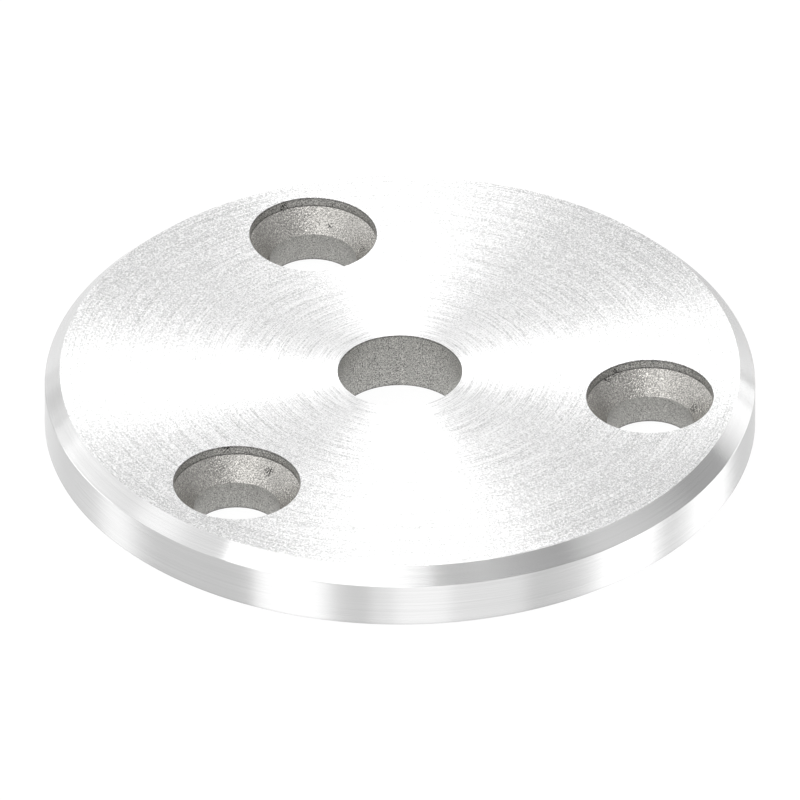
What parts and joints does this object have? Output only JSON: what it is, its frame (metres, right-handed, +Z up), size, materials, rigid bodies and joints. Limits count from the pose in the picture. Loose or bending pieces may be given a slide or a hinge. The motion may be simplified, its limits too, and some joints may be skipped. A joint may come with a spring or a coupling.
{
  "type": "drilled mounting disc",
  "caption": "Flat round ground-steel disc with a chamfered top edge, a plain centre bore and evenly spaced recessed countersunk screw holes round it.",
  "frame": {"origin": "middle of the underside, on the axis of the centre bore", "axes": "+Z up through the disc, from the underside to the chamfered top face; +X through the middle of one screw hole"},
  "size_m": [0.07, 0.07, 0.006],
  "materials": {
    "ground_steel": "ground, with fine concentric lines on the top face, lines along the edge, and rougher, darker walls in the drilled holes"
  },
  "bodies": {
    "root": {"disc": "ground_steel"}
  },
  "joints": []
}
